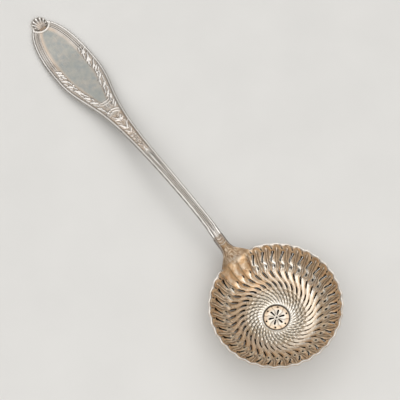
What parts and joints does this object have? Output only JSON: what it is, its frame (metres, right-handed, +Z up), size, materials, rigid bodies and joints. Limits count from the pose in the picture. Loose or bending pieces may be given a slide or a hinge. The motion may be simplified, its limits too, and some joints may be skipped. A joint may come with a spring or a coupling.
{
  "type": "spoon",
  "caption": "Silver sifter spoon: round bowl of pierced, swirling flutes with a pierced rosette in its floor, on a slender arched handle with a long oval cartouche and a small shell tip",
  "frame": {"origin": "on the table, under the middle of the spoon's bounding box, with the spoon at rest on its bowl and its cartouche", "axes": "+X runs along the handle from the bowl to the shell tip, +Z is up and out of the bowl's mouth, +Y completes the frame; the handle's middle plane is Y=0"},
  "size_m": [0.2114, 0.055, 0.0233],
  "materials": {
    "silver": "worn polished silver, with brown tarnish in the hollows",
    "gilt": "thin gilding over silver, dull at the rim and worn pale at the centre"
  },
  "bodies": {
    "root": {"bowl": "gilt", "centre_rosette": "gilt", "handle": "silver", "finial": "silver"}
  },
  "joints": []
}
